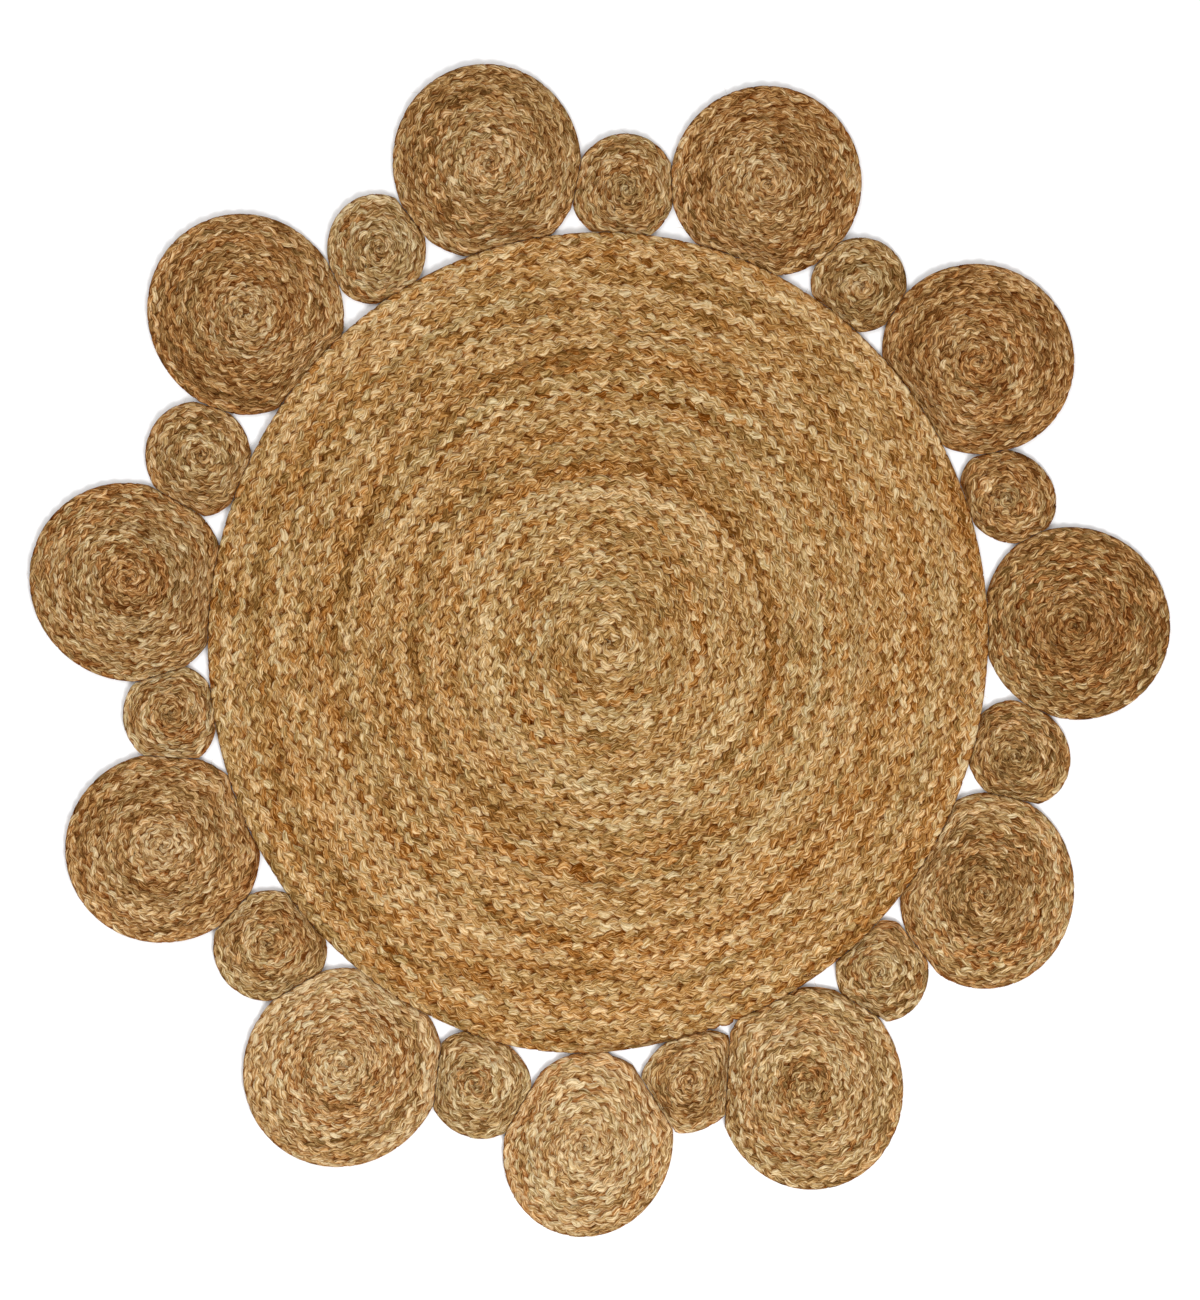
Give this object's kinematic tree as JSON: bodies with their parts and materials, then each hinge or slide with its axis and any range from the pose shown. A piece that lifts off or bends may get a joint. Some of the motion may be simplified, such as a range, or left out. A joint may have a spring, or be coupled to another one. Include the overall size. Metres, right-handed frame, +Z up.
{
  "type": "round jute rug",
  "caption": "Round floor rug of coiled jute plait: a large ridged disc inside a ring of touching coiled rosettes, large and small in turn, with open gaps between them.",
  "frame": {"origin": "middle of the rug's box, at the underside that lies on the floor", "axes": "+Z up from the floor through the rug; +Y towards the top of the picture, the rug's slightly longer way; +X to the picture's right"},
  "size_m": [1.1858, 1.2188, 0.008],
  "materials": {
    "jute_honey": "matt plaited jute",
    "jute_tan": "matt plaited jute",
    "jute_brown": "matt plaited jute",
    "jute_straw": "matt plaited jute"
  },
  "bodies": {
    "root": {"disc": "jute_honey", "rosette_large_01": "jute_tan", "rosette_small_01": "jute_tan", "rosette_large_02": "jute_brown", "rosette_small_02": "jute_tan", "rosette_large_03": "jute_brown", "rosette_small_03": "jute_brown", "rosette_large_04": "jute_brown", "rosette_small_04": "jute_tan", "rosette_large_05": "jute_tan", "rosette_small_05": "jute_honey", "rosette_large_06": "jute_honey", "rosette_small_06": "jute_honey", "rosette_large_07": "jute_straw", "rosette_small_07": "jute_honey", "rosette_large_08": "jute_straw", "rosette_small_08": "jute_honey", "rosette_large_09": "jute_brown", "rosette_small_09": "jute_tan", "rosette_large_10": "jute_brown", "rosette_small_10": "jute_tan", "rosette_large_11": "jute_brown", "rosette_small_11": "jute_tan"}
  },
  "joints": []
}
